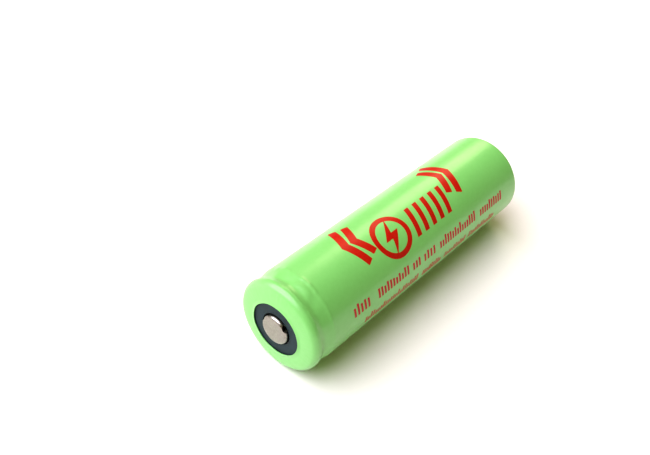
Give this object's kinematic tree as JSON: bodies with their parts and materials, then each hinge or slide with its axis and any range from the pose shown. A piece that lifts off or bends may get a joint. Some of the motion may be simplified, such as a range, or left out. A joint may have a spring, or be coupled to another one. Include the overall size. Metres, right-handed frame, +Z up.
{
  "type": "cylindrical battery cell",
  "caption": "Cylindrical rechargeable cell lying on its side: shrink sleeve over a steel can with a rolled groove, raised positive button, flat negative base and wound roll.",
  "frame": {"origin": "bottom centre of the cell's box: on the surface that the cell lies on, under the middle of its length", "axes": "+X along the cell's axis from the button towards the flat base, +Z up, +Y across; the button points to -X"},
  "size_m": [0.0662, 0.0184, 0.0184],
  "materials": {
    "sleeve_film": "gloss",
    "fibre_board": "matte",
    "nickel_plated_steel": "satin",
    "stamped_aluminium": "satin",
    "nickel_strip": "satin",
    "sealing_plastic": "satin",
    "separator_film": "satin",
    "cathode_coating": "matte",
    "anode_coating": "matte",
    "tape_film": "gloss"
  },
  "bodies": {
    "root": {"heat_shrink_sleeve": "sleeve_film", "top_insulator_washer": "fibre_board", "upper_insulator_disc": "fibre_board", "lower_insulator_disc": "fibre_board", "positive_button": "nickel_plated_steel", "positive_cap": "nickel_plated_steel", "cell_can": "nickel_plated_steel", "centre_pin": "nickel_plated_steel", "burst_disc": "stamped_aluminium", "cid_contact_plate": "stamped_aluminium", "positive_tab": "stamped_aluminium", "negative_tab": "nickel_strip", "crimp_gasket": "sealing_plastic", "cid_insulator_ring": "sealing_plastic", "inner_separator": "separator_film", "outer_separator": "separator_film", "cathode_sheet": "cathode_coating", "anode_sheet": "anode_coating", "positive_tab_tape": "tape_film", "roll_closing_tape": "tape_film"}
  },
  "joints": []
}
